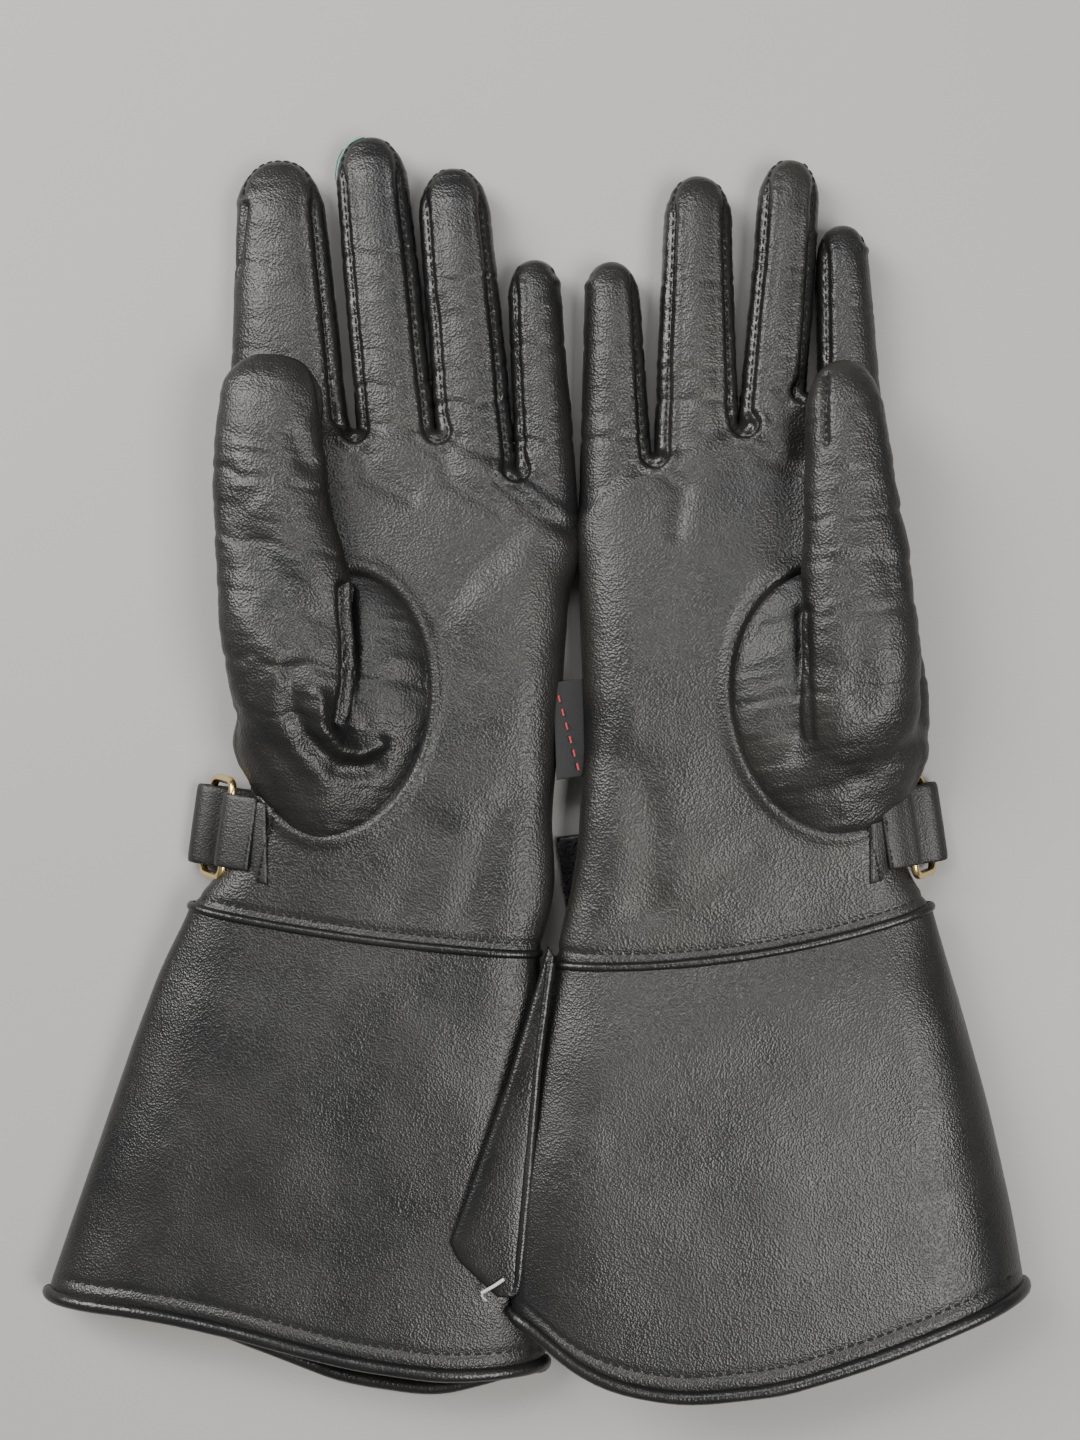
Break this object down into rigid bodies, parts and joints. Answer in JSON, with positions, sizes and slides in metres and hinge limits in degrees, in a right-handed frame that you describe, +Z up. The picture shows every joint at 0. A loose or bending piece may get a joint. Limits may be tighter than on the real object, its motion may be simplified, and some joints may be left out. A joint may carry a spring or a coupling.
{
  "type": "welding gloves",
  "caption": "Pair of black leather welding gauntlets with flared cuffs, set-in thumbs, side gussets and a hook-and-loop wrist strap through a brass ring, laid palm up.",
  "frame": {"origin": "centre of the pair's footprint, at the height of the surface the gloves lie on", "axes": "+Y towards the fingertips, +X from the left-hand glove to the right-hand glove, +Z up, away from the table, out of the palms"},
  "size_m": [0.2842, 0.3618, 0.038],
  "materials": {
    "palm_leather": "fine pebbled black leather with a semi-gloss surface",
    "back_leather": "black leather, slightly duller than the palm",
    "trim_leather": "smooth black leather piping and strips",
    "strap_leather": "firm smooth black strap leather",
    "lining_cloth": "soft black cotton lining",
    "hook_tape": "fuzzy black hook-and-loop tape",
    "brass_wire": "polished brass-plated wire"
  },
  "bodies": {
    "left_cuff": {"left_cuff_palm_panel": "palm_leather", "left_cuff_back_panel": "back_leather", "left_cuff_gusset": "trim_leather", "left_wrist_piping": "trim_leather", "left_hem_binding": "trim_leather", "left_cuff_lining": "lining_cloth"},
    "left_hand": {"left_palm_panel": "palm_leather", "left_back_panel": "back_leather", "left_fourchettes": "trim_leather", "left_hand_lining": "lining_cloth", "left_thumb_gusset": "trim_leather", "left_wrist_strap": "strap_leather", "left_ring_keeper": "strap_leather"},
    "left_index": {"left_index_front": "palm_leather", "left_index_back": "back_leather", "left_index_fourchette": "trim_leather"},
    "left_middle": {"left_middle_front": "palm_leather", "left_middle_back": "back_leather", "left_middle_fourchette": "trim_leather"},
    "left_ring_finger": {"left_ring_finger_front": "palm_leather", "left_ring_finger_back": "back_leather", "left_ring_finger_fourchette": "trim_leather"},
    "left_pinky": {"left_pinky_front": "palm_leather", "left_pinky_back": "back_leather", "left_pinky_fourchette": "trim_leather"},
    "left_thumb": {"left_thumb_front": "palm_leather", "left_thumb_back": "back_leather"},
    "left_buckle": {"left_wrist_ring": "brass_wire"},
    "left_strap_tail": {"left_strap_end": "strap_leather", "left_hook_tape": "hook_tape"},
    "right_cuff": {"right_cuff_palm_panel": "palm_leather", "right_cuff_back_panel": "back_leather", "right_cuff_gusset": "trim_leather", "right_wrist_piping": "trim_leather", "right_hem_binding": "trim_leather", "right_cuff_lining": "lining_cloth"},
    "right_hand": {"right_palm_panel": "palm_leather", "right_back_panel": "back_leather", "right_fourchettes": "trim_leather", "right_hand_lining": "lining_cloth", "right_thumb_gusset": "trim_leather", "right_wrist_strap": "strap_leather", "right_ring_keeper": "strap_leather"},
    "right_index": {"right_index_front": "palm_leather", "right_index_back": "back_leather", "right_index_fourchette": "trim_leather"},
    "right_middle": {"right_middle_front": "palm_leather", "right_middle_back": "back_leather", "right_middle_fourchette": "trim_leather"},
    "right_ring_finger": {"right_ring_finger_front": "palm_leather", "right_ring_finger_back": "back_leather", "right_ring_finger_fourchette": "trim_leather"},
    "right_pinky": {"right_pinky_front": "palm_leather", "right_pinky_back": "back_leather", "right_pinky_fourchette": "trim_leather"},
    "right_thumb": {"right_thumb_front": "palm_leather", "right_thumb_back": "back_leather"},
    "right_buckle": {"right_wrist_ring": "brass_wire"},
    "right_strap_tail": {"right_strap_end": "strap_leather", "right_hook_tape": "hook_tape"}
  },
  "joints": [
    {"name": "right_glove_lift", "type": "slide", "parent": "left_cuff", "child": "right_cuff", "axis": [0, 0, 1], "range_m": [0, 0.06]},
    {"name": "left_wrist_flex", "type": "hinge", "parent": "left_cuff", "child": "left_hand", "pos_m": [-0.04743, -0.04825, 0.021], "axis": [0.9907, -0.1357, 0], "range_deg": [0, 50]},
    {"name": "left_index_curl", "type": "hinge", "parent": "left_hand", "child": "left_index", "pos_m": [-0.07181, 0.11962, 0.017], "axis": [0.9993, 0.0384, 0], "range_deg": [0, 85]},
    {"name": "left_middle_curl", "type": "hinge", "parent": "left_hand", "child": "left_middle", "pos_m": [-0.04217, 0.12058, 0.017], "axis": [0.9951, 0.0993, 0], "range_deg": [0, 85]},
    {"name": "left_ring_finger_curl", "type": "hinge", "parent": "left_hand", "child": "left_ring_finger", "pos_m": [-0.01866, 0.11235, 0.017], "axis": [0.9959, 0.0906, 0], "range_deg": [0, 85]},
    {"name": "left_pinky_curl", "type": "hinge", "parent": "left_hand", "child": "left_pinky", "pos_m": [0.00235, 0.10444, 0.017], "axis": [0.9984, 0.0558, 0], "range_deg": [0, 85]},
    {"name": "left_thumb_lift", "type": "hinge", "parent": "left_hand", "child": "left_thumb", "pos_m": [-0.06801, 0.01723, 0.038], "axis": [0.9952, 0.0976, 0], "range_deg": [0, 45]},
    {"name": "left_buckle_swing", "type": "hinge", "parent": "left_hand", "child": "left_buckle", "pos_m": [-0.08747, -0.02005, 0.017], "axis": [0.1357, 0.9907, 0], "range_deg": [-7, 0]},
    {"name": "left_strap_slide", "type": "slide", "parent": "left_hand", "child": "left_strap_tail", "axis": [-0.9907, 0.1357, 0], "range_m": [0, 0.012]},
    {"name": "right_wrist_flex", "type": "hinge", "parent": "right_cuff", "child": "right_hand", "pos_m": [0.05879, -0.04966, 0.021], "axis": [0.989, 0.1478, 0], "range_deg": [0, 50]},
    {"name": "right_index_curl", "type": "hinge", "parent": "right_hand", "child": "right_index", "pos_m": [0.09109, 0.11693, 0.017], "axis": [0.9989, 0.0471, 0], "range_deg": [0, 85]},
    {"name": "right_middle_curl", "type": "hinge", "parent": "right_hand", "child": "right_middle", "pos_m": [0.07073, 0.12001, 0.017], "axis": [0.9969, -0.0785, 0], "range_deg": [0, 85]},
    {"name": "right_ring_finger_curl", "type": "hinge", "parent": "right_hand", "child": "right_ring_finger", "pos_m": [0.04743, 0.11552, 0.017], "axis": [1, -0.0052, 0], "range_deg": [0, 85]},
    {"name": "right_pinky_curl", "type": "hinge", "parent": "right_hand", "child": "right_pinky", "pos_m": [0.02326, 0.1038, 0.017], "axis": [0.9997, 0.0262, 0], "range_deg": [0, 85]},
    {"name": "right_thumb_lift", "type": "hinge", "parent": "right_hand", "child": "right_thumb", "pos_m": [0.09194, 0.01785, 0.038], "axis": [0.9981, 0.061, 0], "range_deg": [0, 45]},
    {"name": "right_buckle_swing", "type": "hinge", "parent": "right_hand", "child": "right_buckle", "pos_m": [0.10739, -0.01964, 0.017], "axis": [-0.1478, 0.989, 0], "range_deg": [0, 7]},
    {"name": "right_strap_slide", "type": "slide", "parent": "right_hand", "child": "right_strap_tail", "axis": [0.989, 0.1478, 0], "range_m": [0, 0.012]}
  ]
}
